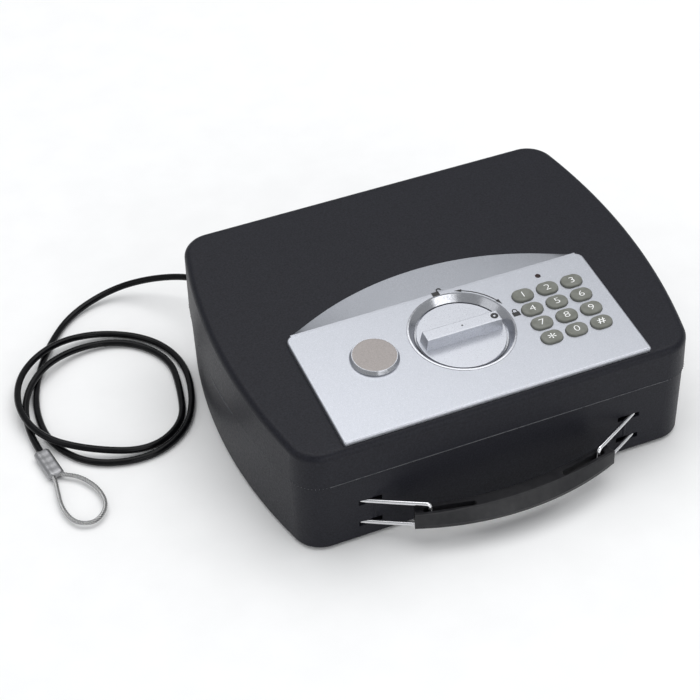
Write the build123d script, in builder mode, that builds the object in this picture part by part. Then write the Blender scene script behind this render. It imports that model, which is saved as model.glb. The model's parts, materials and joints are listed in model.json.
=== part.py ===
"""Cash box: a lockable steel box with a wedge lid, keypad, knob, carrying handle and tether cable.

Millimetres. +X runs along the front from left to right, -Y is the front, +Z is up. The origin is
under the middle of the box and its handle, on the surface that the rubber feet stand on.
"""
import os
from math import cos, pi, radians, sin, sqrt, tan

from build123d import *

os.makedirs("parts", exist_ok=True)

# ---- Driving dimensions -------------------------------------------------------------------
box_depth = 221.5          # front face to back face at the lid seam
half_width = 150.8         # at the middle of the bowed sides
side_radius = 397.4        # bow of each side wall
corner_radius = 21.0
wall = 2.0
draft = tan(radians(0.8))  # the walls lean in away from the seam
seam_z = 54.8
lid_front_z = 80.9         # height of the lid's flat top where it would meet the front face
lid_slope = 5.8            # the lid's top rises to the back, in degrees
lid_edge_radius = 5.0
base_inset = 0.7           # the base is this much smaller than the lid all round
foot_height = 1.5

handle_reach = 34.8        # outermost point of the grip in front of the front face
hinge_axis_out = 3.3       # behind the back face
knuckle_radius = 3.0
front_y = -(box_depth + hinge_axis_out + knuckle_radius - handle_reach) / 2
back_y = front_y + box_depth
middle_y = front_y + box_depth / 2
side_offset = side_radius - half_width

pad_thickness = 3.0        # the silver panel stands this far above the lid
pad_edge_radius = 1.2
pad_back_corner = 6.0
pad_front_corner = 1.5
pad_half_width = 107.0
pad_front = 4.0
pad_crease = 103.0         # from here the panel ramps down to the lid
pad_apex = 131.5
knob_u = 1.0
knob_v = 64.6
dish_radius = 35.0
knob_radius = 29.5
knob_gap = 1.2
cap_u = -61.0
cap_v = 63.5
key_pitch_u = 18.0
key_pitch_v = 13.9
key_length = 15.0
key_width = 10.9
key_u = 51.9               # first key column
led_u = key_u + key_pitch_u
led_v = 92.0
led_radius = 1.9
cylinder_radius = 9.5
key_names = ["1", "2", "3", "4", "5", "6", "7", "8", "9", "star", "0", "hash"]

# The lid's sloping top: u along X, v up the slope from the front, w out of the lid.
top = Plane(
    origin=(0, front_y, lid_front_z),
    x_dir=(1, 0, 0),
    z_dir=(0, -sin(radians(lid_slope)), cos(radians(lid_slope))),
)
top_axis = Axis((0, 0, 0), top.z_dir)
upright = (Align.CENTER, Align.CENTER, Align.MIN)
hanging = (Align.CENTER, Align.CENTER, Align.MAX)


def save(part, name):
    """Labels a finished piece and writes it."""
    part.label = name
    export_step(part, "parts/" + name + ".step")


def box_outline(z, inset):
    """The box's plan at one height: straight front and back, bowed sides, round corners."""
    with BuildSketch(Plane.XY.offset(z)) as plan:
        with Locations((0, middle_y)):
            Rectangle(2 * side_radius, box_depth - 2 * inset)
        with Locations((side_offset, middle_y)):
            Circle(side_radius - inset, mode=Mode.INTERSECT)
        with Locations((-side_offset, middle_y)):
            Circle(side_radius - inset, mode=Mode.INTERSECT)
        fillet(plan.vertices(), corner_radius - inset)
    return plan.sketch


def slab(low_z, low_inset, high_z, high_inset):
    """A solid between two box plans."""
    with BuildPart() as body:
        loft([box_outline(low_z, low_inset), box_outline(high_z, high_inset)], ruled=True)
    return body.part


def wedge(inset, drop, edge_radius):
    """The lid's outer or inner shape, cut off by the sloping top."""
    tall = 60.0
    solid = slab(seam_z, inset, seam_z + tall, inset + tall * draft)
    with BuildPart() as body:
        add(solid)
        split(bisect_by=top.offset(-drop), keep=Keep.BOTTOM)
        rim = body.faces().sort_by(top_axis)[-1]
        fillet(rim.edges(), edge_radius)
    return body.part


# ---- Base ---------------------------------------------------------------------------------
base_height = seam_z - foot_height
base_foot_inset = base_inset + base_height * draft
lip_height = 3.5
lip_outer = base_inset + wall + 0.6
lip_inner = lip_outer + 1.2
outer_block = slab(foot_height, base_foot_inset, seam_z, base_inset)
inner_block = slab(foot_height + wall, base_foot_inset + wall, seam_z, base_inset + wall)
lip_foot = slab(seam_z - 8, base_inset + wall / 2, seam_z, base_inset + wall / 2)
lip_tongue = slab(seam_z - 1, lip_outer, seam_z + lip_height, lip_outer)
lip_clear = slab(seam_z - 8, lip_inner, seam_z + lip_height, lip_inner)

# Handle links: a wire leg runs from a pivot just behind the front wall, out through a slot in the
# wall, to an upright bar in the grip's slot.
wire_radius = 1.5
leg_low_z = 13.8
leg_high_z = 32.2
leg_middle_z = (leg_low_z + leg_high_z) / 2
pivot_x = 99.5
pivot_y = front_y + 4.85
bar_x = 59.8
bar_y = front_y - 17.7
wall_slot_x = 92.2
wall_slot_length = 16.0
wall_slot_height = 3.8
strap_x = 89.5             # the pressed rib between the two slots
strap_radius = 1.4
cable_radius = 2.4
cable_exit_x = -105.0
cable_exit_z = 33.0
grommet_radius = 6.0

with BuildPart() as base_shell:
    add(outer_block)
    fillet(base_shell.edges().group_by(Axis.Z)[0], 2.0)
    add(inner_block, mode=Mode.SUBTRACT)
    add(lip_foot)
    add(lip_tongue)
    add(lip_clear, mode=Mode.SUBTRACT)
    for side in (-1, 1):
        with Locations((side * strap_x, front_y + strap_radius + 0.5, leg_middle_z)):
            Cylinder(strap_radius, leg_high_z - leg_low_z - wall_slot_height - 2)
        for z in (leg_low_z, leg_high_z):
            with Locations((side * wall_slot_x, front_y, z)):
                Box(wall_slot_length, 12, wall_slot_height, mode=Mode.SUBTRACT)
    with Locations(Plane(origin=(cable_exit_x, back_y, cable_exit_z), z_dir=(0, 1, 0))):
        Cylinder(grommet_radius, 20, mode=Mode.SUBTRACT)
save(base_shell.part, "base_shell")

mat_inset = base_foot_inset + wall + 2
mat_thickness = 2.5
with BuildPart() as floor_mat:
    add(slab(foot_height + wall, mat_inset, foot_height + wall + mat_thickness, mat_inset))
save(floor_mat.part, "floor_mat")

foot_radius = 7.0
foot_x = 104.0
foot_y = 80.0
feet = {
    "foot_front_left": (-foot_x, middle_y - foot_y),
    "foot_front_right": (foot_x, middle_y - foot_y),
    "foot_back_left": (-foot_x, middle_y + foot_y),
    "foot_back_right": (foot_x, middle_y + foot_y),
}
for name, (x, y) in feet.items():
    with BuildPart() as foot:
        with Locations((x, y, 0)):
            Cylinder(foot_radius, foot_height, align=upright)
        chamfer(foot.edges().group_by(Axis.Z)[0], 0.4)
    save(foot.part, name)

# ---- Handle -------------------------------------------------------------------------------
bend = 2.2
stub = 6.5                 # the link's ends turn in along the pivot
bore_clearance = 0.05
socket_x = 92.5
socket_length = 19.0
socket_front = 3.4         # just behind the front wall
socket_depth = 5.4
socket_height = 27.0
socket_slot_x = 91.7
socket_slot_length = 17.6

for name, side in (("left", -1), ("right", 1)):
    with BuildPart() as socket:
        with Locations((side * socket_x, front_y + socket_front, leg_middle_z)):
            Box(socket_length, socket_depth, socket_height, align=(Align.CENTER, Align.MIN, Align.CENTER))
        for z in (leg_low_z, leg_high_z):
            with Locations((side * socket_slot_x, front_y, z)):
                Box(socket_slot_length, 30, wall_slot_height + 0.4, mode=Mode.SUBTRACT)
        with Locations((side * pivot_x, pivot_y, leg_middle_z)):
            Cylinder(wire_radius + bore_clearance, leg_high_z - leg_low_z, mode=Mode.SUBTRACT)
    save(socket.part, "link_socket_" + name)

    with BuildPart() as link:
        with BuildLine() as path:
            FilletPolyline(
                (side * pivot_x, pivot_y, leg_high_z - stub),
                (side * pivot_x, pivot_y, leg_high_z),
                (side * bar_x, bar_y, leg_high_z),
                (side * bar_x, bar_y, leg_low_z),
                (side * pivot_x, pivot_y, leg_low_z),
                (side * pivot_x, pivot_y, leg_low_z + stub),
                radius=bend,
            )
        with BuildSketch(Plane(origin=path.line @ 0, z_dir=path.line % 0)):
            Circle(wire_radius)
        sweep()
    save(link.part, "handle_link_" + name)

# The grip: its top, a parting line where it is widest, and its underside.
grip_levels = [
    (15.9, handle_reach - 1.2),
    (19.6, handle_reach),
    (27.7, 29.2),
]
grip_low_z = grip_levels[0][0]
grip_high_z = grip_levels[-1][0]
grip_outer_half = 71.0
grip_outer_end_y = front_y - 19.6
grip_inner_half = 67.4
grip_inner_end_y = front_y - 10.2
grip_inner_y = front_y - 20.0
slot_angle = 13.0
slot_width = 3.9
slot_travel = 31.0
slot_x = 47.4
slot_y = bar_y - (bar_x - slot_x) * tan(radians(slot_angle))

with BuildPart() as handle:
    for z, reach in grip_levels:
        with BuildSketch(Plane.XY.offset(z)):
            with BuildLine():
                ThreePointArc(
                    (-grip_outer_half, grip_outer_end_y),
                    (0, front_y - reach),
                    (grip_outer_half, grip_outer_end_y),
                )
                Line((grip_outer_half, grip_outer_end_y), (grip_inner_half, grip_inner_end_y))
                ThreePointArc(
                    (grip_inner_half, grip_inner_end_y),
                    (0, grip_inner_y),
                    (-grip_inner_half, grip_inner_end_y),
                )
                Line((-grip_inner_half, grip_inner_end_y), (-grip_outer_half, grip_outer_end_y))
            make_face()
    loft(ruled=True)
    outlines = handle.edges().filter_by(GeomType.CIRCLE).filter_by(lambda edge: edge.length > 100)
    fillet(outlines.group_by(Axis.Z)[0], 1.2)
    fillet(handle.edges().filter_by(GeomType.CIRCLE).group_by(Axis.Z)[-1], 0.8)
    for side in (-1, 1):
        with BuildSketch(Plane.XY.offset(grip_low_z - 1)):
            with Locations((side * slot_x, slot_y)):
                SlotCenterToCenter(slot_travel, slot_width, rotation=side * slot_angle)
        extrude(amount=grip_high_z - grip_low_z + 2, mode=Mode.SUBTRACT)
save(handle.part, "handle")

# ---- Lid ----------------------------------------------------------------------------------
cover_z = 59.3
cover_thickness = 1.2
window_u = (key_u + key_u + 2 * key_pitch_u) / 2
window_v = knob_v - 0.5 * key_pitch_v
window_length = 2 * key_pitch_u + key_length + 3
window_width = 3 * key_pitch_v + key_width + 3
lid_outside = wedge(0, 0, lid_edge_radius)
lid_inside = wedge(wall, wall, lid_edge_radius - wall)

with BuildPart() as lid_shell:
    add(lid_outside)
    add(lid_inside, mode=Mode.SUBTRACT)
    with BuildSketch(top.offset(-wall - 1)):
        with Locations((knob_u, knob_v)):
            Circle(dish_radius - 2.5)
        with Locations((window_u, window_v)):
            Rectangle(window_length, window_width)
        with Locations((cap_u, cap_v)):
            Circle(cylinder_radius + 0.2)
        with Locations((led_u, led_v)):
            Circle(led_radius + 0.6)
    extrude(amount=wall + 2, mode=Mode.SUBTRACT)
save(lid_shell.part, "lid_shell")

key_places = [
    (key_u + (i % 3) * key_pitch_u, knob_v + (1 - i // 3) * key_pitch_v) for i in range(len(key_names))
]
apex_drop = pad_apex - pad_crease
arc_half = pad_half_width - 4.0
arc_radius = (arc_half**2 + apex_drop**2) / (2 * apex_drop)


def ramp_end(u):
    """How far up the slope the panel's ramp reaches at one place across it."""
    return pad_apex - arc_radius + sqrt(arc_radius**2 - u**2)


ramp_places = [arc_half * k / 6 for k in range(-6, 7)]
with BuildPart() as ramp:
    for u in ramp_places:
        reach = max(ramp_end(u), pad_crease + 1.5)
        with BuildSketch(Plane(origin=top.from_local_coords((u, 0, 0)), x_dir=top.y_dir, z_dir=top.x_dir)):
            with BuildLine():
                Polyline(
                    (pad_crease - pad_edge_radius - 0.6, 0),
                    (reach, 0),
                    (reach, 0.35),
                    (pad_crease, pad_thickness - 0.02),
                    (pad_crease - pad_edge_radius - 0.6, pad_thickness - 0.02),
                    close=True,
                )
            make_face()
    loft()

with BuildPart() as control_panel:
    with BuildSketch(top):
        with Locations((0, (pad_front + pad_crease) / 2)):
            Rectangle(2 * pad_half_width, pad_crease - pad_front)
    extrude(amount=pad_thickness)
    fillet(control_panel.edges().filter_by(top_axis).group_by(Axis.Y)[-1], pad_back_corner)
    fillet(control_panel.edges().filter_by(top_axis).group_by(Axis.Y)[0], pad_front_corner)
    fillet(control_panel.faces().sort_by(top_axis)[-1].edges(), pad_edge_radius)
    add(ramp.part)
    with BuildSketch(top.offset(-1)):
        with Locations((knob_u, knob_v)):
            Circle(dish_radius)
        with Locations((cap_u, cap_v)):
            Circle(cylinder_radius + 0.1)
        with Locations((led_u, led_v)):
            Circle(led_radius + 0.05)
        with Locations(*key_places):
            SlotOverall(key_length + 0.5, key_width + 0.5)
    extrude(amount=pad_thickness + 2, mode=Mode.SUBTRACT)
save(control_panel.part, "control_panel")

# ---- Hinge at the back --------------------------------------------------------------------
leaf_half_length = 62.0
knuckle_gap = 0.15
pin_radius = 1.5
knuckle_length = 2 * leaf_half_length / 5
hinge_axis = Plane(origin=(0, back_y + hinge_axis_out, seam_z), z_dir=(1, 0, 0))
knuckle_places = [(k - 2) * knuckle_length for k in range(5)]

with BuildPart() as hinge_pin:
    with Locations(hinge_axis):
        Cylinder(pin_radius, 2 * leaf_half_length + 2)
save(hinge_pin.part, "hinge_pin")

leaves = {
    "hinge_leaf_base": (knuckle_places[0::2], knuckle_places[1::2], -base_inset, -1, pin_radius),
    "hinge_leaf_lid": (knuckle_places[1::2], knuckle_places[0::2], 0.0, 1, pin_radius + 0.05),
}
for name, (own_places, other_places, inner_y, way, bore) in leaves.items():
    with BuildPart() as leaf:
        with Locations((0, back_y + inner_y, seam_z + way * 7.2)):
            Box(2 * leaf_half_length, 1.5, 13.6, align=(Align.CENTER, Align.MIN, Align.CENTER))
        with Locations(*[hinge_axis.offset(x) for x in other_places]):
            Cylinder(knuckle_radius + 0.3, knuckle_length + 2 * knuckle_gap, mode=Mode.SUBTRACT)
        with Locations(*[hinge_axis.offset(x) for x in own_places]):
            Cylinder(knuckle_radius, knuckle_length - 2 * knuckle_gap)
        with Locations(hinge_axis):
            Cylinder(bore, 2 * leaf_half_length + 2, mode=Mode.SUBTRACT)
    save(leaf.part, name)

# ---- Knob and dish ------------------------------------------------------------------------
knob_place = top.from_local_coords((knob_u, knob_v, 0))
knob_section = Plane(origin=knob_place, x_dir=top.x_dir, z_dir=-top.y_dir)
knob_axis = Axis(knob_place, top.z_dir)
shaft_radius = 5.0
dish_floor = -3.0
disc_top = -0.5
bar_height = 8.5
bar_length = 54.5
bar_width = 10.6
pointer_radius = 2.6
pointer_place = (knob_u + 23.0, knob_v)

with BuildPart() as dish:
    with BuildSketch(knob_section):
        with BuildLine():
            Polyline(
                (dish_radius - 3, 0.1),
                (dish_radius - 0.1, 0.1),
                (dish_radius - 0.1, pad_thickness),
                (dish_radius + 0.8, pad_thickness),
                (dish_radius + 0.6, pad_thickness + 0.35),
                (dish_radius - 0.6, pad_thickness + 0.45),
                (knob_radius + knob_gap, -0.9),
                (knob_radius + knob_gap, dish_floor),
                (shaft_radius + 0.05, dish_floor),
                (shaft_radius + 0.05, dish_floor - 1.6),
                (dish_radius - 3, dish_floor - 1.6),
                close=True,
            )
        make_face()
    revolve(axis=knob_axis)
save(dish.part, "dish")

with BuildPart() as knob:
    with BuildSketch(top.offset(disc_top - 2.2)):
        with Locations((knob_u, knob_v)):
            Circle(knob_radius)
    extrude(amount=2.2)
    fillet(knob.faces().sort_by(top_axis)[-1].edges(), 0.4)
    with BuildSketch(top.offset(disc_top)):
        with Locations((knob_u, knob_v)):
            Rectangle(bar_length, bar_width)
    extrude(amount=bar_height, taper=6)
    fillet(knob.faces().sort_by(top_axis)[-1].edges(), 0.6)
    with BuildSketch(top.offset(disc_top + bar_height - 0.3)):
        with Locations(pointer_place):
            Circle(pointer_radius)
            Circle(0.3 * pointer_radius, mode=Mode.SUBTRACT)
        with Locations((knob_u, knob_v)):
            Circle(0.7)
    extrude(amount=1, mode=Mode.SUBTRACT)
save(knob.part, "knob")

with BuildPart() as pointer_mark:
    with BuildSketch(top.offset(disc_top + bar_height - 0.3)):
        with Locations(pointer_place):
            Circle(pointer_radius)
            Circle(0.3 * pointer_radius, mode=Mode.SUBTRACT)
        with Locations((knob_u, knob_v)):
            Circle(0.7)
    extrude(amount=0.28)
save(pointer_mark.part, "pointer_mark")

clutch_radius = 9.0
clutch_top = -15.8
clutch_parting = -19.0
with BuildPart() as knob_shaft:
    with BuildSketch(top.offset(clutch_top)):
        with Locations((knob_u, knob_v)):
            Circle(shaft_radius)
    extrude(amount=disc_top - 2.2 - clutch_top)
    with BuildSketch(top.offset(clutch_parting)):
        with Locations((knob_u, knob_v)):
            Circle(clutch_radius)
    extrude(amount=clutch_top - clutch_parting)
save(knob_shaft.part, "knob_shaft")

# ---- Bolt work, in a housing under the lid's top -------------------------------------------
housing_left = -40.0
housing_right = 38.0
housing_front = 13.0
housing_back = 92.0
housing_floor = -38.0
housing_top = -5.0
sheet = 1.5
bolt_radius = 4.0
bolt_u = 28.0
bolt_w = -32.0
bolt_tip_v = 8.5
bolt_root_v = 26.0
guide_length = 13.0
guide_width = 8.8
pinion_radius = 6.0
tooth_count = 12
tooth_pitch = 2 * pi * pinion_radius / tooth_count
rack_u = knob_u + pinion_radius + 3.6
rack_width = 4.8
rack_thickness = 6.0
gear_low = -34.4
gear_height = 4.8
bolt_section = Plane(origin=top.origin, x_dir=top.x_dir, z_dir=-top.y_dir)

with BuildPart() as lock_housing:
    with BuildSketch(top.offset(housing_floor)):
        with Locations(((housing_left + housing_right) / 2, (housing_front + housing_back) / 2)):
            Rectangle(housing_right - housing_left, housing_back - housing_front)
    extrude(amount=housing_top - housing_floor)
    with BuildSketch(top.offset(housing_floor + sheet)):
        with Locations(((housing_left + housing_right) / 2, (housing_front + housing_back) / 2)):
            Rectangle(housing_right - housing_left - 2 * sheet, housing_back - housing_front - 2 * sheet)
    extrude(amount=-housing_floor, mode=Mode.SUBTRACT)
    with BuildSketch(top.offset(housing_floor - 1)):
        with Locations((knob_u, knob_v)):
            Circle(bolt_radius + 0.05)
    extrude(amount=4, mode=Mode.SUBTRACT)
    with BuildSketch(bolt_section.offset(-housing_front - 5)):
        with Locations((-bolt_u, bolt_w), (bolt_u, bolt_w)):
            Rectangle(guide_length, guide_width)
    extrude(amount=10, mode=Mode.SUBTRACT)
save(lock_housing.part, "lock_housing")

with BuildPart() as bolt_guides:
    with BuildSketch(bolt_section.offset(-housing_front - 5)):
        with Locations((-bolt_u, bolt_w), (bolt_u, bolt_w)):
            Rectangle(guide_length, guide_width)
            Circle(bolt_radius + 0.06, mode=Mode.SUBTRACT)
    extrude(amount=5)
save(bolt_guides.part, "bolt_guides")

with BuildPart() as bolt_bar:
    with BuildSketch(bolt_section.offset(-bolt_root_v)):
        with Locations((-bolt_u, bolt_w), (bolt_u, bolt_w)):
            Circle(bolt_radius)
    extrude(amount=bolt_root_v - bolt_tip_v)
    with BuildSketch(top.offset(bolt_w - rack_thickness / 2)):
        with Locations((0, bolt_root_v + 3)):
            Rectangle(2 * bolt_u + 8, 7)
        with Locations((rack_u, 60)):
            Rectangle(rack_width, 60)
    extrude(amount=rack_thickness)
    with BuildSketch(top.offset(bolt_w - rack_thickness / 2)):
        for k in range(-2, 4):
            v = knob_v + (k + 0.5) * tooth_pitch
            with BuildLine():
                Polyline(
                    (knob_u + pinion_radius + 1.3, v - 1.05),
                    (knob_u + pinion_radius - 0.8, v - 0.4),
                    (knob_u + pinion_radius - 0.8, v + 0.4),
                    (knob_u + pinion_radius + 1.3, v + 1.05),
                    close=True,
                )
            make_face()
    extrude(amount=rack_thickness)
save(bolt_bar.part, "bolt_bar")

with BuildPart() as rack_guide:
    with BuildSketch(bolt_section.offset(-82)):
        with Locations((rack_u, bolt_w)):
            Rectangle(12, 9)
            Rectangle(rack_width + 0.2, rack_thickness + 0.2, mode=Mode.SUBTRACT)
    extrude(amount=4)
save(rack_guide.part, "rack_guide")

clutch_gap = 0.6
with BuildPart() as pinion:
    with BuildSketch(top.offset(gear_low)):
        with Locations((knob_u, knob_v)):
            Circle(pinion_radius - 1.1)
        for k in range(tooth_count):
            with BuildLine(Plane.XY):
                tooth = Polyline(
                    (pinion_radius - 1.5, -0.95),
                    (pinion_radius + 0.85, -0.35),
                    (pinion_radius + 0.85, 0.35),
                    (pinion_radius - 1.5, 0.95),
                    close=True,
                )
            with Locations((knob_u, knob_v)):
                add(make_face(tooth, mode=Mode.PRIVATE), rotation=k * 360 / tooth_count)
    extrude(amount=gear_height)
    with BuildSketch(top.offset(housing_floor)):
        with Locations((knob_u, knob_v)):
            Circle(bolt_radius)
    extrude(amount=clutch_parting - clutch_gap - housing_floor)
    with BuildSketch(top.offset(clutch_parting - clutch_gap - 2.4)):
        with Locations((knob_u, knob_v)):
            Circle(clutch_radius)
    extrude(amount=2.4)
save(pinion.part, "pinion")

with BuildPart() as solenoid:
    with BuildSketch(top.offset(-30)):
        with Locations((-22, knob_v)):
            Rectangle(16, 22)
    extrude(amount=15)
    with BuildSketch(Plane(origin=top.from_local_coords((-14.5, knob_v, -24)), z_dir=top.x_dir)):
        Circle(2.5)
    extrude(amount=6)
save(solenoid.part, "clutch_solenoid")

# ---- Keeper for the bolts, inside the base's front wall -------------------------------------
with BuildPart() as keeper:
    with BuildSketch(bolt_section.offset(-7)):
        with Locations((0, -34)):
            Rectangle(80, 14)
        with Locations((-bolt_u, bolt_w), (bolt_u, bolt_w)):
            Circle(bolt_radius + 0.5, mode=Mode.SUBTRACT)
    extrude(amount=2)
    with BuildSketch(top.offset(-42)):
        with Locations((0, 3.1)):
            Rectangle(80, 7.8)
    extrude(amount=1.5)
    with BuildSketch(top.offset(-42)):
        with Locations((0, -0.2)):
            Rectangle(80, 1.2)
    extrude(amount=5.2)
save(keeper.part, "keeper")

# ---- Keypad -------------------------------------------------------------------------------
key_top = pad_thickness + 1.8
mat_top = -3.4
for key_name, place in zip(key_names, key_places):
    with BuildPart() as key:
        with BuildSketch(top.offset(-0.2)):
            with Locations(place):
                SlotOverall(key_length, key_width)
        extrude(amount=key_top + 0.2)
        fillet(key.faces().sort_by(top_axis)[-1].edges(), 1.0)
        with BuildSketch(top.offset(-1.6)):
            with Locations(place):
                SlotOverall(key_length + 1.4, key_width + 1.4)
        extrude(amount=1.4)
        with BuildSketch(top.offset(-2.5)):
            with Locations(place):
                SlotOverall(key_length - 5, key_width - 4)
        extrude(amount=0.9)
    save(key.part, "key_" + key_name)

with BuildPart() as keypad_mat:
    with BuildSketch(top.offset(mat_top - 1)):
        with Locations((window_u + 0.5, window_v)):
            Rectangle(window_length + 1, window_width + 4)
    extrude(amount=1)
save(keypad_mat.part, "keypad_mat")

with BuildPart() as circuit_board:
    with BuildSketch(top.offset(mat_top - 2.6)):
        with Locations((window_u + 0.5, window_v + 8)):
            Rectangle(window_length + 1, window_width + 22)
    extrude(amount=1.6)
    with BuildSketch(top.offset(mat_top - 5.2)):
        with Locations((window_u, window_v), (window_u - 10, window_v + 26)):
            Rectangle(12, 9)
    extrude(amount=2.6)
save(circuit_board.part, "circuit_board")

with BuildPart() as led:
    with BuildSketch(top.offset(mat_top - 1)):
        with Locations((led_u, led_v)):
            Circle(led_radius)
    extrude(amount=pad_thickness - mat_top + 1.4)
    fillet(led.faces().sort_by(top_axis)[-1].edges(), 0.6)
save(led.part, "led_lens")

# ---- Override lock under its cap ------------------------------------------------------------
cap_place = top.from_local_coords((cap_u, cap_v, 0))
cap_section = Plane(origin=cap_place, x_dir=top.x_dir, z_dir=-top.y_dir)
cap_axis = Axis(cap_place, top.z_dir)
cap_radius = 16.2
cap_top = pad_thickness + 3.3
plug_radius = 6.5

with BuildPart() as key_cylinder:
    with BuildSketch(top.offset(-20)):
        with Locations((cap_u, cap_v)):
            Circle(cylinder_radius)
            Circle(plug_radius + 0.05, mode=Mode.SUBTRACT)
    extrude(amount=20 + pad_thickness)
save(key_cylinder.part, "key_cylinder")

with BuildPart() as key_plug:
    with BuildSketch(top.offset(-19)):
        with Locations((cap_u, cap_v)):
            Circle(plug_radius)
    extrude(amount=19 + pad_thickness - 0.3)
    with BuildSketch(top.offset(pad_thickness - 4)):
        with Locations((cap_u, cap_v)):
            Rectangle(1.8, 8.5)
    extrude(amount=5, mode=Mode.SUBTRACT)
save(key_plug.part, "key_plug")

with BuildPart() as cap:
    with BuildSketch(cap_section):
        with BuildLine():
            Polyline(
                (0, pad_thickness + 0.6),
                (cap_radius - 1.6, pad_thickness + 0.6),
                (cap_radius - 1.6, pad_thickness + 0.05),
                (cap_radius, pad_thickness + 0.05),
                (cap_radius, pad_thickness + 0.9),
                (cap_radius - 1.1, cap_top - 0.5),
                (cap_radius - 1.4, cap_top),
                (cap_radius - 1.8, cap_top),
                (cap_radius - 1.8, cap_top - 0.4),
                (0, cap_top - 0.4),
                close=True,
            )
        make_face()
    revolve(axis=cap_axis)
save(cap.part, "override_cap")

with BuildPart() as cap_inlay:
    with BuildSketch(top.offset(cap_top - 0.4)):
        with Locations((cap_u, cap_v)):
            Circle(cap_radius - 1.85)
    extrude(amount=0.35)
save(cap_inlay.part, "cap_inlay")

# ---- Inner cover, batteries and their door ---------------------------------------------------
battery_radius = 7.1
battery_length = 50.5
battery_pitch = 15.0
battery_z = cover_z + cover_thickness + battery_radius + 0.6
first_battery_y = front_y + 112.0
tray_middle_y = first_battery_y + 1.5 * battery_pitch
tray_width = 4 * battery_pitch + 2.0
tray_length = battery_length + 5.0
tray_height = 17.5
tray_wall = 1.2
door_width = 66.0
door_length = 60.0
door_thickness = 1.1
screw_radius = 1.5
screw_places = [(x, front_y + back) for x in (-124.0, 124.0) for back in (24.0, 196.0)]

with BuildPart() as inner_cover:
    add(slab(cover_z, wall + 0.8, cover_z + cover_thickness, wall + 0.8))
    with BuildSketch(Plane.XY.offset(cover_z - 1)):
        with Locations(((housing_left + housing_right) / 2, front_y + 54.5)):
            Rectangle(housing_right - housing_left + 3, 85)
        with Locations((0, tray_middle_y)):
            Rectangle(tray_length - 2, tray_width - 2)
        with Locations(*screw_places):
            Circle(screw_radius + 0.1)
    extrude(amount=4, mode=Mode.SUBTRACT)
save(inner_cover.part, "inner_cover")

with BuildPart() as cover_screws:
    with Locations(*[(x, y, cover_z) for x, y in screw_places]):
        Cylinder(2 * screw_radius, 1.6, align=hanging)
        Cylinder(screw_radius, 8, align=upright)
save(cover_screws.part, "cover_screws")

with BuildPart() as battery_tray:
    with Locations((0, tray_middle_y, cover_z + cover_thickness)):
        Box(tray_length, tray_width, tray_height, align=upright)
        Box(
            tray_length - 2 * tray_wall,
            tray_width - 2 * tray_wall,
            tray_height - tray_wall,
            align=upright,
            mode=Mode.SUBTRACT,
        )
save(battery_tray.part, "battery_tray")

for k in range(4):
    with BuildPart() as battery:
        with Locations(Plane(origin=(0, first_battery_y + k * battery_pitch, battery_z), z_dir=(1, 0, 0))):
            Cylinder(battery_radius, battery_length - 1.2)
            with Locations((0, 0, battery_length / 2 - 0.6)):
                Cylinder(2.8, 1.2, align=upright)
    save(battery.part, "battery_" + str(k + 1))

with BuildPart() as battery_door:
    with Locations((0, tray_middle_y, cover_z - 0.15)):
        Box(door_length, door_width, door_thickness, align=hanging)
    with Locations((0, tray_middle_y - door_width / 2 + 8, cover_z - 0.15 - door_thickness)):
        Box(24, 1.5, 0.8, align=hanging)
save(battery_door.part, "battery_door")

with BuildPart() as door_rails:
    for side in (-1, 1):
        with Locations((side * (door_length / 2 + 1.8), tray_middle_y, cover_z)):
            Box(3.0, door_width, 2.6, align=hanging)
        with Locations((side * (door_length / 2 + 0.3), tray_middle_y, cover_z - 1.5)):
            Box(6.0, door_width, 1.1, align=hanging)
save(door_rails.part, "door_rails")

# ---- Tether cable ---------------------------------------------------------------------------
grommet_plane = Plane(origin=(cable_exit_x, back_y, cable_exit_z), x_dir=(1, 0, 0), z_dir=(0, 1, 0))
with BuildPart() as grommet:
    with BuildSketch(grommet_plane.offset(-6.2)):
        Circle(8.5)
    extrude(amount=2.8)
    with BuildSketch(grommet_plane.offset(-6.2)):
        Circle(grommet_radius - 0.05)
    extrude(amount=7)
    with BuildSketch(grommet_plane.offset(-0.9)):
        Circle(8.5)
    extrude(amount=2.4)
    fillet(grommet.faces().sort_by(Axis.Y)[-1].edges(), 1.0)
    with BuildSketch(grommet_plane.offset(-8)):
        Circle(cable_radius + 0.03)
    extrude(amount=14, mode=Mode.SUBTRACT)
save(grommet.part, "cable_grommet")

with BuildPart() as cable_stop:
    with BuildSketch(grommet_plane.offset(-20)):
        Circle(5.5)
    extrude(amount=13)
    with BuildSketch(grommet_plane.offset(-18)):
        Circle(cable_radius)
    extrude(amount=14, mode=Mode.SUBTRACT)
save(cable_stop.part, "cable_stop")

# The cable's route: out of the back wall, down to the floor, and two loose turns beside the box.
# Distances back from the front face; the second turn crosses the first and is lifted over it.
route = [
    (-105, 203.5, 33),
    (-105, 238.5, 33),
    (-114, 266, 30.5),
    (-138, 292, 20),
    (-167, 309, 7.5),
    (-203, 299, 2.6),
    (-228, 271, 2.6),
    (-246, 239, 2.6),
    (-257, 204, 2.6),
    (-256, 167, 2.6),
    (-236, 137, 2.6),
    (-198, 127, 2.6),
    (-167, 143, 2.6),
    (-151, 176, 2.6),
    (-145.5, 215, 2.6),
    (-159, 248, 2.6),
    (-191, 268, 3.8),
    (-226, 265, 8.6),
    (-256, 244, 8.6),
    (-269, 208, 9.8),
    (-262, 171, 9.4),
    (-235, 146, 8.6),
    (-197, 134, 2.8),
    (-167, 151, 2.6),
    (-157.5, 185, 2.6),
    (-153.5, 221, 2.6),
    (-174, 251, 2.6),
    (-207, 258, 4.6),
    (-240, 244, 8.2),
    (-262, 216, 6.2),
    (-267, 181, 3.7),
    (-264.5, 162, 3.7),
]
points = [(x, front_y + y, z) for x, y, z in route]
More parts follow.
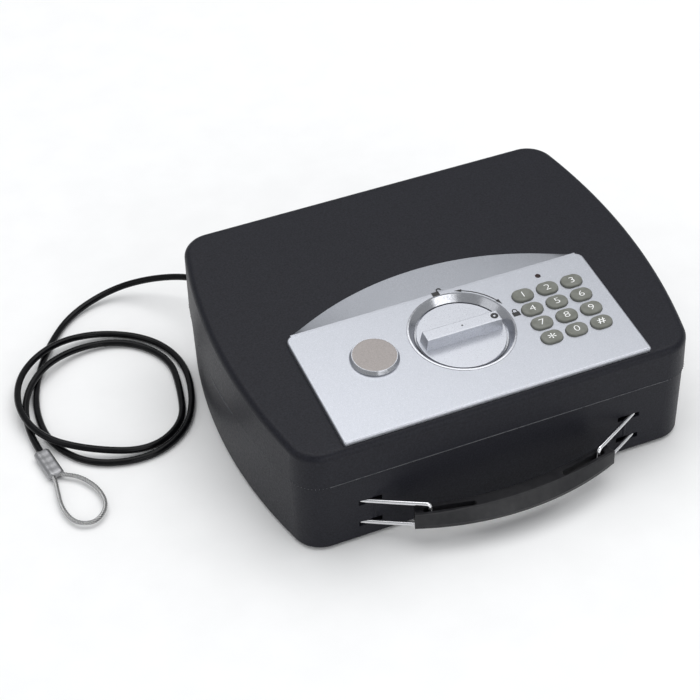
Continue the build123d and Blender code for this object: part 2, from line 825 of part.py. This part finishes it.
ends = [Vector(*point) for point in points]
runs = [(b - a).length for a, b in zip(ends, ends[1:])]
turns = [(b - a).get_angle(c - b) for a, b, c in zip(ends, ends[1:], ends[2:])]
radii = [
    0.45 * min(first, second) / tan(radians(turn / 2)) for first, second, turn in zip(runs, runs[1:], turns)
]

with BuildPart() as cable:
    with BuildLine() as cable_path:
        FilletPolyline(*points, radius=radii)
    cable_wire = cable_path.wires()[0]
    with BuildSketch(Plane(origin=cable_wire @ 0, z_dir=cable_wire % 0)):
        Circle(cable_radius)
    sweep()
save(cable.part, "security_cable")

ferrule_length = 26.0
ferrule_width = 11.4
ferrule_thickness = 7.2
ferrule_start = ends[-1]
ferrule_way = (cable_wire % 1).normalized()
ferrule_plane = Plane(origin=ferrule_start, x_dir=Vector(0, 0, 1).cross(ferrule_way), z_dir=ferrule_way)
with BuildPart() as ferrule:
    with BuildSketch(ferrule_plane):
        SlotOverall(ferrule_width, ferrule_thickness)
    extrude(amount=ferrule_length)
    fillet(ferrule.faces().sort_by(Axis(ferrule_start, ferrule_way))[-1].edges(), 0.8)
save(ferrule.part, "ferrule")

# The bare wire rope leaves the ferrule, turns in a teardrop and goes back into it.
rope_radius = 1.6
loop_points = [
    (2.6, 0.6),
    (12.5, 9.5),
    (18.8, 26),
    (17.0, 43),
    (5.0, 54),
    (-7.0, 49),
    (-9.8, 32),
    (-5.5, 13),
    (-2.6, 1.1),
]
loop_plane = ferrule_plane.offset(ferrule_length)
loop_bend = 9.0
with BuildPart() as wire_loop:
    with BuildLine() as loop_path:
        spots = [loop_plane.from_local_coords((side, 0, ahead)) for side, ahead in loop_points]
        FilletPolyline(*spots, radius=loop_bend)
    with BuildSketch(Plane(origin=loop_path.line @ 0, z_dir=loop_path.line % 0)):
        Circle(rope_radius)
    sweep()
save(wire_loop.part, "wire_loop")
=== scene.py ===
"""Looks for the cash box: camera, materials, tether cable, printed marks, lid seam and studio light."""
import json
import math
import bpy
import bmesh
from mathutils import Matrix, Vector


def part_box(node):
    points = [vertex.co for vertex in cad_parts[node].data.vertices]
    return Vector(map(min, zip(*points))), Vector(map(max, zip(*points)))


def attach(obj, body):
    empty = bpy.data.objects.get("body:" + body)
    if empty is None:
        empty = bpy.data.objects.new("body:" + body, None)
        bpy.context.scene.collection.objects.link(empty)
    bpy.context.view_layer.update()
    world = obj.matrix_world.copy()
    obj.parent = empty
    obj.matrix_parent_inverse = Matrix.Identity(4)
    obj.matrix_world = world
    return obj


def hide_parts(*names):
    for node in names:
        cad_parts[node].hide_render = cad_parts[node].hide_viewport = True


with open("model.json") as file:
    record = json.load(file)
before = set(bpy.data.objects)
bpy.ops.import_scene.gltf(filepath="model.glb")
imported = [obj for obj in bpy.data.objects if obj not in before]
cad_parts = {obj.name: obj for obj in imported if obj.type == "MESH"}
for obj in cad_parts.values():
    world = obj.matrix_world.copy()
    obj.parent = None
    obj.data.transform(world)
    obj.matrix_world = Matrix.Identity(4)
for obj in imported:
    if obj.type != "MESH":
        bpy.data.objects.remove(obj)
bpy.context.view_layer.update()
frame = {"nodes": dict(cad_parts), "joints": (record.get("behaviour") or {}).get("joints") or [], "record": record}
nodes = frame["nodes"]
body_of = {
    node: body
    for body, members in frame["record"]["behaviour"]["bodies"].items()
    for node in members
}
MM = 0.001

# The lid's sloping top: u along X, v up the slope, w out of the lid.
up = Vector(next(j for j in frame["joints"] if j["name"] == "knob_turn")["axis"]).normalized()
along = Vector((1, 0, 0))
slope_turn = Matrix((along, up.cross(along), up)).transposed()
FRONT_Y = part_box("lid_shell")[0].y


def on_slope(u, v, w):
    """A point given in the sloping top's own directions, in metres."""
    return slope_turn @ Vector((u, v, w))


def slope_box(name):
    """A CAD node's lowest and highest corner in the sloping top's directions."""
    spots = [slope_turn.transposed() @ v.co for v in nodes[name].data.vertices]
    low = Vector([min(p[k] for p in spots) for k in range(3)])
    high = Vector([max(p[k] for p in spots) for k in range(3)])
    return low, high


# ---- Camera ---------------------------------------------------------------------------------
AZIMUTH = math.radians(-21.49)
ELEVATION = math.radians(40.10)
ROLL = math.radians(-2.34)
TARGET = Vector((-0.0333, 0.0787, 0.0015))
DISTANCE = 1.347
LENS = 97.2
back = Vector((
    math.sin(AZIMUTH) * math.cos(ELEVATION),
    -math.cos(AZIMUTH) * math.cos(ELEVATION),
    math.sin(ELEVATION),
))
level = Vector((math.cos(AZIMUTH), math.sin(AZIMUTH), 0))
above = back.cross(level)
right = level * math.cos(ROLL) + above * math.sin(ROLL)
upward = above * math.cos(ROLL) - level * math.sin(ROLL)
camera = bpy.data.objects.new("camera", bpy.data.cameras.new("camera"))
bpy.context.scene.collection.objects.link(camera)
camera.data.lens = LENS
camera.data.sensor_width = 36
camera.data.clip_end = 20
camera.matrix_world = Matrix.Translation(TARGET + back * DISTANCE) @ Matrix(
    (right, upward, back)
).transposed().to_4x4()
bpy.context.scene.camera = camera


# ---- Helpers --------------------------------------------------------------------------------
def link(obj):
    """Puts an object in the scene."""
    bpy.context.scene.collection.objects.link(obj)
    return obj


def route_curve(name, points, bevel):
    """A smooth open NURBS line through the pull of its points."""
    curve = bpy.data.curves.new(name, "CURVE")
    curve.dimensions = "3D"
    curve.resolution_u = 12
    spline = curve.splines.new("NURBS")
    spline.points.add(len(points) - 1)
    for spot, point in zip(spline.points, points):
        spot.co = (*point, 1)
    spline.order_u = 3
    spline.use_endpoint_u = True
    curve.bevel_depth = bevel
    curve.bevel_resolution = 6
    return link(bpy.data.objects.new(name, curve))


def line_of(obj):
    """The points along a curve that has no bevel."""
    depsgraph = bpy.context.evaluated_depsgraph_get()
    mesh = bpy.data.meshes.new_from_object(obj.evaluated_get(depsgraph), depsgraph=depsgraph)
    spots = [v.co.copy() for v in mesh.vertices]
    bpy.data.meshes.remove(mesh)
    return spots


def spaced(spots, step):
    """The same line with points a fixed step apart."""
    out = [spots[0].copy()]
    left = step
    for a, b in zip(spots, spots[1:]):
        gap = (b - a).length
        at = 0.0
        while gap - at >= left:
            at += left
            out.append(a.lerp(b, at / gap))
            left = step
        left -= gap - at
    return out


def frames_along(spots):
    """Each place on the line with two directions across it, which turn as little as they can."""
    side = Vector((0, 0, 1))
    out = []
    for k, spot in enumerate(spots):
        ahead = (spots[min(k + 1, len(spots) - 1)] - spots[max(k - 1, 0)]).normalized()
        side = (side - ahead * side.dot(ahead)).normalized()
        out.append((spot, side, ahead.cross(side)))
    return out


def mesh_piece(name, verts, faces, smooth=True):
    """A mesh object from points and faces."""
    mesh = bpy.data.meshes.new(name)
    mesh.from_pydata([tuple(v) for v in verts], [], faces)
    mesh.update()
    for polygon in mesh.polygons:
        polygon.use_smooth = smooth
    return link(bpy.data.objects.new(name, mesh))


def cover(obj, material):
    """Gives an object one material."""
    obj.data.materials.clear()
    obj.data.materials.append(material)
    return obj


# ---- Materials ------------------------------------------------------------------------------
class Finish:
    """A Principled material with noise-driven colour, roughness and bump."""

    def __init__(self, name, color, roughness, metallic=0.0, specular=0.5):
        self.material = bpy.data.materials.new(name)
        self.material.use_nodes = True
        self.tree = self.material.node_tree
        self.shader = self.tree.nodes["Principled BSDF"]
        self.shader.inputs["Base Color"].default_value = (*color, 1)
        self.shader.inputs["Roughness"].default_value = roughness
        self.shader.inputs["Metallic"].default_value = metallic
        self.shader.inputs["Specular IOR Level"].default_value = specular
        self.place = self.tree.nodes.new("ShaderNodeTexCoord").outputs["Object"]
        self.color = color
        self.roughness = roughness

    def noise(self, scale, detail=3.0, stretch=(1, 1, 1)):
        """A noise value at one scale, in features per metre."""
        mapping = self.tree.nodes.new("ShaderNodeMapping")
        mapping.inputs["Scale"].default_value = stretch
        self.tree.links.new(self.place, mapping.inputs["Vector"])
        node = self.tree.nodes.new("ShaderNodeTexNoise")
        node.inputs["Scale"].default_value = scale
        node.inputs["Detail"].default_value = detail
        self.tree.links.new(mapping.outputs["Vector"], node.inputs["Vector"])
        return node.outputs["Fac"]

    def ramp(self, value, low, high, low_at=0.35, high_at=0.65):
        """Maps a 0 to 1 value between two numbers."""
        node = self.tree.nodes.new("ShaderNodeMapRange")
        node.inputs["From Min"].default_value = low_at
        node.inputs["From Max"].default_value = high_at
        node.inputs["To Min"].default_value = low
        node.inputs["To Max"].default_value = high
        self.tree.links.new(value, node.inputs["Value"])
        return node.outputs["Result"]

    def tint(self, value, other, low_at=0.35, high_at=0.65):
        """Blends the base colour towards another by a value."""
        node = self.tree.nodes.new("ShaderNodeMix")
        node.data_type = "RGBA"
        node.inputs["A"].default_value = (*self.color, 1)
        node.inputs["B"].default_value = (*other, 1)
        self.tree.links.new(self.ramp(value, 0.0, 1.0, low_at, high_at), node.inputs["Factor"])
        self.tree.links.new(node.outputs["Result"], self.shader.inputs["Base Color"])
        return self

    def vary_roughness(self, value, spread):
        """Lets the roughness wander about its own value."""
        low = max(self.roughness - spread, 0.02)
        wander = self.ramp(value, low, self.roughness + spread)
        self.tree.links.new(wander, self.shader.inputs["Roughness"])
        return self

    def bump(self, value, strength, distance):
        """Adds a bump layer under the ones already there."""
        node = self.tree.nodes.new("ShaderNodeBump")
        node.inputs["Strength"].default_value = strength
        node.inputs["Distance"].default_value = distance
        self.tree.links.new(value, node.inputs["Height"])
        target = self.shader.inputs["Normal"]
        if target.is_linked:
            self.tree.links.new(target.links[0].from_socket, node.inputs["Normal"])
        self.tree.links.new(node.outputs["Normal"], target)
        return self


def powder_coat():
    """Satin black powder coat with a fine pebbled texture."""
    f = Finish("powder_coat", (0.0055, 0.0057, 0.0095), 0.44, specular=0.2)
    f.tint(f.noise(900, 3), (0.0115, 0.012, 0.018))
    f.vary_roughness(f.noise(700, 3), 0.05)
    f.bump(f.noise(1300, 2), 0.35, 0.00025)
    f.bump(f.noise(420, 3), 0.14, 0.0003)
    return f.material


def moulded(name, color, other, roughness, grain=900, depth=0.25):
    """Moulded plastic or rubber with a fine grain."""
    f = Finish(name, color, roughness, specular=0.35)
    f.tint(f.noise(240, 3), other)
    f.vary_roughness(f.noise(90, 3), 0.05)
    f.bump(f.noise(grain, 2), depth, 0.00015)
    return f.material


def silver_paint():
    """Satin silver paint with tiny flakes."""
    f = Finish("silver_paint", (0.44, 0.455, 0.495), 0.34, metallic=0.85)
    f.tint(f.noise(2600, 1), (0.55, 0.565, 0.61), 0.45, 0.7)
    f.vary_roughness(f.noise(900, 2), 0.06)
    f.bump(f.noise(1900, 1), 0.10, 0.0001)
    return f.material


def plated(name, color, roughness, stretch=(1, 1, 1), scale=700, depth=0.06, metallic=1.0):
    """Plated or turned metal with fine marks."""
    f = Finish(name, color, roughness, metallic)
    f.tint(f.noise(1400, 2), tuple(0.9 * c for c in color))
    f.vary_roughness(f.noise(scale, 3, stretch), 0.06)
    f.bump(f.noise(scale, 3, stretch), depth, 0.0001)
    return f.material


def vinyl():
    """Glossy black vinyl over a laid wire rope."""
    f = Finish("vinyl", (0.002, 0.002, 0.0026), 0.22, specular=0.15)
    f.tint(f.noise(300, 3), (0.004, 0.004, 0.005))
    f.vary_roughness(f.noise(300, 3), 0.04)
    f.bump(f.noise(260, 2), 0.06, 0.0002)
    return f.material


def printed(name, color):
    """Thin printed ink with a slightly uneven film."""
    f = Finish(name, color, 0.5)
    f.tint(f.noise(1500, 2), tuple(min(1.0, 1.25 * c + 0.004) for c in color))
    f.bump(f.noise(2500, 1), 0.08, 0.00005)
    return f.material


finishes = {
    "black_paint": powder_coat(),
    # The seam bead's grey is a painted highlight: the lid's edge is really the same black powder coat.
    "seam_painted_highlight": moulded("seam_painted_highlight", (0.05, 0.052, 0.06), (0.09, 0.092, 0.10), 0.3),
    "foam": moulded("foam", (0.022, 0.022, 0.024), (0.04, 0.04, 0.043), 0.9, 700, 0.6),
    "rubber": moulded("rubber", (0.016, 0.016, 0.016), (0.03, 0.03, 0.03), 0.75),
    "black_plastic": moulded("black_plastic", (0.010, 0.010, 0.012), (0.017, 0.017, 0.02), 0.45),
    "grip_plastic": moulded(
        "grip_plastic", (0.006, 0.006, 0.008), (0.011, 0.011, 0.013), 0.42, 1200, 0.22
    ),
    "chrome_wire": plated("chrome_wire", (0.78, 0.78, 0.80), 0.14),
    "zinc_steel": plated("zinc_steel", (0.52, 0.53, 0.56), 0.34, (1, 6, 6), 400, 0.12),
    "cable_vinyl": vinyl(),
    "ferrule_alloy": plated("ferrule_alloy", (0.36, 0.36, 0.37), 0.42, scale=900, depth=0.35),
    "rope_steel": plated("rope_steel", (0.46, 0.46, 0.46), 0.28, scale=1500, depth=0.2),
    "silver_panel": silver_paint(),
    "chrome": plated("chrome", (0.48, 0.49, 0.52), 0.2),
    "knob_silver": plated("knob_silver", (0.56, 0.575, 0.62), 0.33, scale=1800, metallic=0.75),
    "mark_black": printed("mark_black", (0.012, 0.012, 0.013)),
    "cap_taupe": plated("cap_taupe", (0.33, 0.305, 0.295), 0.46, scale=1400, depth=0.1),
    "key_rubber": moulded("key_rubber", (0.15, 0.155, 0.135), (0.19, 0.195, 0.175), 0.6, 1600, 0.2),
    "board_green": moulded("board_green", (0.012, 0.085, 0.035), (0.02, 0.12, 0.05), 0.35),
    "led_dark": moulded("led_dark", (0.012, 0.008, 0.008), (0.03, 0.012, 0.012), 0.12),
    "lock_brass": plated("lock_brass", (0.62, 0.47, 0.22), 0.28, scale=900, depth=0.15),
    "battery_wrap": moulded("battery_wrap", (0.06, 0.06, 0.07), (0.1, 0.1, 0.11), 0.3),
}
for part in frame["record"]["subparts"]:
    cover(nodes[part["node"]], finishes[part["material_slot"]])
key_ink = printed("key_ink", (0.80, 0.81, 0.80))

# ---- Tether cable ---------------------------------------------------------------------------
# The same route as the CAD tube: millimetres, measured back from the box's front face.
ROUTE = [
    (-105, 203.5, 33),
    (-105, 238.5, 33),
    (-114, 266, 30.5),
    (-138, 292, 20),
    (-167, 309, 7.5),
    (-203, 299, 2.6),
    (-228, 271, 2.6),
    (-246, 239, 2.6),
    (-257, 204, 2.6),
    (-256, 167, 2.6),
    (-236, 137, 2.6),
    (-198, 127, 2.6),
    (-167, 143, 2.6),
    (-151, 176, 2.6),
    (-145.5, 215, 2.6),
    (-159, 248, 2.6),
    (-191, 268, 3.8),
    (-226, 265, 8.6),
    (-256, 244, 8.6),
    (-269, 208, 9.8),
    (-262, 171, 9.4),
    (-235, 146, 8.6),
    (-197, 134, 2.8),
    (-167, 151, 2.6),
    (-157.5, 185, 2.6),
    (-153.5, 221, 2.6),
    (-174, 251, 2.6),
    (-207, 258, 4.6),
    (-240, 244, 8.2),
    (-262, 216, 6.2),
    (-267, 181, 3.7),
    (-264.5, 162, 3.7),
]
CABLE_RADIUS = 2.4 * MM
route = [Vector((x * MM, FRONT_Y + y * MM, z * MM)) for x, y, z in ROUTE]
cable = cover(route_curve("security_cable_line", route, CABLE_RADIUS), finishes["cable_vinyl"])
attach(cable, "base")
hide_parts("security_cable")

# The ferrule: a pressed oval sleeve with two lobes, one for each leg of the loop.
FERRULE_LENGTH = 26.0 * MM
FERRULE_HALF_WIDTH = 5.6 * MM
FERRULE_HALF_HEIGHT = 3.5 * MM
FERRULE_END_ROUND = 1.2 * MM
END_PULL_IN = 0.16
PRESS_DEPTH = 0.05
WAIST_DEPTH = 0.22
WAIST_SPREAD = 0.3
WIDTH_POWER = 0.75
HEIGHT_POWER = 0.8
sleeve_start = route[-1]
sleeve_way = (route[-1] - route[-2]).normalized()
sleeve_side = Vector((0, 0, 1)).cross(sleeve_way).normalized()
sleeve_up = sleeve_way.cross(sleeve_side)


def full_wave(value, power):
    """A sine or cosine made fuller than an ellipse's, with its sign kept."""
    return math.copysign(abs(value) ** power, value)


def ferrule():
    """Rings of a two-lobed oval, pinched where the press closed and rounded at both ends."""
    around = 40
    rings = 41
    verts = []
    for r in range(rings):
        t = r / (rings - 1)
        edge = min(t, 1 - t) * FERRULE_LENGTH
        shrink = 1 - END_PULL_IN * max(0.0, 1 - edge / FERRULE_END_ROUND) ** 2
        press = 1 - PRESS_DEPTH * math.cos(4 * math.pi * t) ** 2
        middle = sleeve_start + sleeve_way * t * FERRULE_LENGTH
        for k in range(around):
            a = 2 * math.pi * k / around
            waist = 1 - WAIST_DEPTH * math.exp(-((math.cos(a) / WAIST_SPREAD) ** 2))
            across = FERRULE_HALF_WIDTH * full_wave(math.cos(a), WIDTH_POWER) * shrink
            high = FERRULE_HALF_HEIGHT * full_wave(math.sin(a), HEIGHT_POWER) * shrink
            verts.append(middle + sleeve_side * across + sleeve_up * high * waist * press)
    faces = []
    for r in range(rings - 1):
        for k in range(around):
            here = r * around
            beyond = here + around
            after = (k + 1) % around
            faces.append((here + k, here + after, beyond + after, beyond + k))
    faces.append(tuple(reversed(range(around))))
    faces.append(tuple((rings - 1) * around + k for k in range(around)))
    return mesh_piece("ferrule_sleeve", verts, faces)


sleeve = cover(ferrule(), finishes["ferrule_alloy"])
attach(sleeve, "base")
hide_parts("ferrule")

# The loop of bare rope: millimetres to the ferrule's side and onwards from its end.
LOOP = [
    (2.4, -1.0),
    (4.5, 1.5),
    (13.0, 9.0),
    (19.0, 26.0),
    (17.0, 43.5),
    (4.5, 54.0),
    (-7.5, 48.0),
    (-9.8, 31.0),
    (-5.0, 12.0),
    (-2.4, 3.0),
    (-2.4, -1.0),
]
STRANDS = 5
STRAND_RADIUS = 0.46 * MM
STRAND_CIRCLE = 1.1 * MM
ROPE_LAY = 10.0 * MM
ROPE_STEP = 0.6 * MM


def wire_rope():
    """Strands laid round a core along the loop's line."""
    start = sleeve_start + sleeve_way * FERRULE_LENGTH
    line = [start + sleeve_side * a * MM + sleeve_way * b * MM for a, b in LOOP]
    guide = route_curve("loop_guide", line, 0.0)
    places = frames_along(spaced(line_of(guide), ROPE_STEP))
    bpy.data.objects.remove(guide)
    curve = bpy.data.curves.new("rope_loop", "CURVE")
    curve.dimensions = "3D"
    curve.bevel_depth = STRAND_RADIUS
    curve.bevel_resolution = 3
    for s in range(STRANDS + 1):
        radius = STRAND_CIRCLE if s < STRANDS else 0.0
        spline = curve.splines.new("POLY")
        spline.points.add(len(places) - 1)
        for k, (spot, side, other) in enumerate(places):
            a = 2 * math.pi * (s / STRANDS + k * ROPE_STEP / ROPE_LAY)
            outward = side * math.cos(a) + other * math.sin(a)
            spline.points[k].co = (*(spot + outward * radius), 1)
    return link(bpy.data.objects.new("rope_loop", curve))


rope = cover(wire_rope(), finishes["rope_steel"])
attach(rope, "base")
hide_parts("wire_loop")


# ---- Printed marks --------------------------------------------------------------------------
INK_THICKNESS = 0.04 * MM
INK_LIFT = 0.01 * MM


def flat_print(name, outlines, place):
    """Thin printed shapes on the panel, given in millimetres round the place of their origin."""
    bm = bmesh.new()
    for outline in outlines:
        ring = [bm.verts.new((x * MM, y * MM, 0)) for x, y in outline]
        bm.faces.new(ring)
    made = bmesh.ops.extrude_face_region(bm, geom=list(bm.faces))
    lifted = [g for g in made["geom"] if isinstance(g, bmesh.types.BMVert)]
    bmesh.ops.translate(bm, verts=lifted, vec=(0, 0, INK_THICKNESS))
    bmesh.ops.recalc_face_normals(bm, faces=bm.faces)
    mesh = bpy.data.meshes.new(name)
    bm.to_mesh(mesh)
    bm.free()
    mesh.transform(Matrix.Translation(place) @ slope_turn.to_4x4())
    obj = cover(link(bpy.data.objects.new(name, mesh)), finishes["mark_black"])
    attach(obj, "lid")


def arc_band(radius, width, first, last, steps=24):
    """The outline of a thin curved band between two angles in degrees."""
    angles = [math.radians(first + (last - first) * k / steps) for k in range(steps + 1)]
    outside = radius + width / 2
    inside = radius - width / 2
    outer = [(outside * math.cos(a), outside * math.sin(a)) for a in angles]
    inner = [(inside * math.cos(a), inside * math.sin(a)) for a in reversed(angles)]
    return outer + inner


def shifted(outline, dx, dy):
    """An outline moved by a step."""
    return [(x + dx, y + dy) for x, y in outline]


def rounded(width, height, radius, steps=5):
    """A rectangle with round corners about the origin."""
    out = []
    for k, (sx, sy) in enumerate(((1, 1), (-1, 1), (-1, -1), (1, -1))):
        for s in range(steps + 1):
            a = math.radians(90 * k + 90 * s / steps)
            out.append((
                sx * (width / 2 - radius) + radius * math.cos(a),
                sy * (height / 2 - radius) + radius * math.sin(a),
            ))
    return out


panel_high = slope_box("control_panel")[1]
dish_low, dish_high = slope_box("dish")
dish_u = (dish_low.x + dish_high.x) / 2
dish_v = (dish_low.y + dish_high.y) / 2
dish_centre = on_slope(dish_u, dish_v, panel_high.z + INK_LIFT)

# The turn arrow: a thin arc about the dish with a pointed head at each end.
ARROW_RADIUS = 37.4
ARROW_WIDTH = 0.85
ARROW_BAND = (25, 67)
ARROW_TIPS = (19, 73)
HEAD_SWEEP = 8
HEAD_OUTER = 1.6
HEAD_INNER = 1.1


def arrow_head(angle, way):
    """The outline of one head, whose tip is at an angle and points onwards (1) or back (-1)."""
    tip = math.radians(angle)
    tail = math.radians(angle - way * HEAD_SWEEP)
    spots = ((ARROW_RADIUS, tip), (ARROW_RADIUS + HEAD_OUTER, tail), (ARROW_RADIUS - HEAD_INNER, tail))
    return [(radius * math.cos(a), radius * math.sin(a)) for radius, a in spots]


arrow = [arc_band(ARROW_RADIUS, ARROW_WIDTH, *ARROW_BAND)]
for angle, way in zip(ARROW_TIPS, (-1, 1)):
    arrow.append(arrow_head(angle, way))
flat_print("turn_arrow", arrow, dish_centre)

# The padlock signs, in millimetres.
LOCK_WIDTH = 5.2
LOCK_HEIGHT = 3.7
LOCK_CORNER = 0.3
SHACKLE_RADIUS = 1.5
SHACKLE_WIDTH = 0.8
LEG_LENGTH = 1.9
LEG_OVERLAP = 0.05


def padlock(name, place, shackle_x, shackle_y):
    """A small padlock sign. A shackle set to the side hangs open by one leg."""
    body = rounded(LOCK_WIDTH, LOCK_HEIGHT, LOCK_CORNER)
    loop = shifted(arc_band(SHACKLE_RADIUS, SHACKLE_WIDTH, 0, 180, 12), shackle_x, shackle_y)
    half = SHACKLE_WIDTH / 2
    leg = [(-half, 0), (half, 0), (half, LEG_LENGTH), (-half, LEG_LENGTH)]
    sides = (-SHACKLE_RADIUS,) if shackle_x else (-SHACKLE_RADIUS, SHACKLE_RADIUS)
    leg_y = shackle_y - LEG_LENGTH + LEG_OVERLAP
    legs = [shifted(leg, shackle_x + side, leg_y) for side in sides]
    flat_print(name, [body, loop] + legs, place)


padlock("mark_locked", dish_centre + on_slope(39.6 * MM, 0.3 * MM, 0), 0, 3.0)
padlock("mark_open", dish_centre + on_slope(-1.3 * MM, 37.6 * MM, 0), 3.4, 2.6)

DIGIT_SIZE = 8.4 * MM
STAR_SIZE = 12.0 * MM
DIGIT_THINNING = -0.14 * MM
DIGIT_LIFT = 0.02 * MM
DIGIT_STRETCH = (1.12, 0.86, 1, 1)


def key_digit(node, text):
    """The character printed on one key."""
    low, high = slope_box(node)
    curve = bpy.data.curves.new("print_" + node, "FONT")
    curve.body = text
    curve.size = STAR_SIZE if text == "*" else DIGIT_SIZE
    curve.align_x = "CENTER"
    curve.align_y = "CENTER"
    curve.extrude = DIGIT_LIFT
    if text.isdigit():
        curve.offset = DIGIT_THINNING
    temp = link(bpy.data.objects.new("temp", curve))
    depsgraph = bpy.context.evaluated_depsgraph_get()
    mesh = bpy.data.meshes.new_from_object(temp.evaluated_get(depsgraph), depsgraph=depsgraph)
    bpy.data.objects.remove(temp)
    xs = [v.co.x for v in mesh.vertices]
    ys = [v.co.y for v in mesh.vertices]
    mesh.transform(Matrix.Translation((-(min(xs) + max(xs)) / 2, -(min(ys) + max(ys)) / 2, 0)))
    mesh.transform(Matrix.Diagonal(DIGIT_STRETCH))
    place = on_slope((low.x + high.x) / 2, (low.y + high.y) / 2, high.z + DIGIT_LIFT)
    mesh.transform(Matrix.Translation(place) @ slope_turn.to_4x4())
    obj = cover(link(bpy.data.objects.new("print_" + node, mesh)), key_ink)
    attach(obj, body_of[node])


KEY_TEXT = {"star": "*", "hash": "#"}
for node in nodes:
    if node.startswith("key_") and node not in ("key_cylinder", "key_plug"):
        label = node.removeprefix("key_")
        key_digit(node, KEY_TEXT.get(label, label))

# ---- Seam: the lid's lower edge is rolled, and its bead is coloured lighter than the lid as a painted highlight ---
BEAD_RADIUS = 0.35 * MM
BEAD_PROUD = 0.05 * MM
RIM_TOLERANCE = 0.02 * MM
SIDE_WALL_Y = 0.1
SIDE_WALL_SHARE = 0.9


def seam_bead():
    """A thin bead round the lid's lower edge, along the outermost points of its rim."""
    shell = nodes["lid_shell"].data
    low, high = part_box("lid_shell")
    middle = (low + high) / 2
    far = {}
    for vertex in shell.vertices:
        if abs(vertex.co.z - low.z) < RIM_TOLERANCE:
            away = (vertex.co - middle).xy
            turn = round(math.atan2(away.y, away.x), 3)
            if turn not in far or away.length > far[turn].length:
                far[turn] = away
    walls = [far[turn] for turn in sorted(far)]
    reach = max(p.x for p in walls)
    # On the side walls only the points near the outermost reach lie on the rim.
    walls = [p for p in walls if abs(p.y) > SIDE_WALL_Y or p.length > SIDE_WALL_SHARE * reach]
    curve = bpy.data.curves.new("seam_bead", "CURVE")
    curve.dimensions = "3D"
    curve.bevel_depth = BEAD_RADIUS
    curve.bevel_resolution = 2
    spline = curve.splines.new("POLY")
    spline.points.add(len(walls) - 1)
    for spot, away in zip(spline.points, walls):
        flat = middle.xy + away * (1 + BEAD_PROUD / away.length)
        spot.co = (flat.x, flat.y, low.z + BEAD_RADIUS, 1)
    spline.use_cyclic_u = True
    return link(bpy.data.objects.new("seam_bead", curve))


# The bead's light grey is a painted highlight along the seam, on top of the light its shape catches.
bead = cover(seam_bead(), finishes["seam_painted_highlight"])
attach(bead, "lid")

# ---- Studio ---------------------------------------------------------------------------------
FLOOR_REACH = 4
FLOOR_DROP = 0.2 * MM
floor_corners = [(x * FLOOR_REACH, y * FLOOR_REACH, 0) for x, y in ((-1, -1), (1, -1), (1, 1), (-1, 1))]
floor = mesh_piece("floor", floor_corners, [(0, 1, 2, 3)], smooth=False)
floor.location.z = -FLOOR_DROP
floor_finish = Finish("floor_paper", (0.93, 0.93, 0.93), 0.8)
floor_finish.tint(floor_finish.noise(30, 3), (0.95, 0.95, 0.95))
cover(floor, floor_finish.material)


def softbox(name, location, aim, width, height, power):
    """A rectangular area light pointed at a place."""
    light = bpy.data.lights.new(name, "AREA")
    light.shape = "RECTANGLE"
    light.size = width
    light.size_y = height
    light.energy = power
    obj = link(bpy.data.objects.new(name, light))
    obj.location = location
    obj.rotation_euler = (Vector(aim) - Vector(location)).to_track_quat("-Z", "Y").to_euler()
    return obj


softbox("overhead_light", (0.3, 0.35, 2.3), (0.1, 0.1, 0.0), width=3.2, height=2.4, power=42)
softbox("left_light", (-2.4, -0.4, 1.5), (0, 0, 0.05), width=1.6, height=1.6, power=5)
softbox("front_light", (0.5, -2.2, 0.9), (0, 0, 0.03), width=1.8, height=1.0, power=12)
world = bpy.data.worlds.new("studio")
bpy.context.scene.world = world
world.use_nodes = True
world.node_tree.nodes["Background"].inputs["Color"].default_value = (0.96, 0.98, 1.0, 1)
world.node_tree.nodes["Background"].inputs["Strength"].default_value = 0.5
bpy.context.scene.view_settings.view_transform = "Standard"
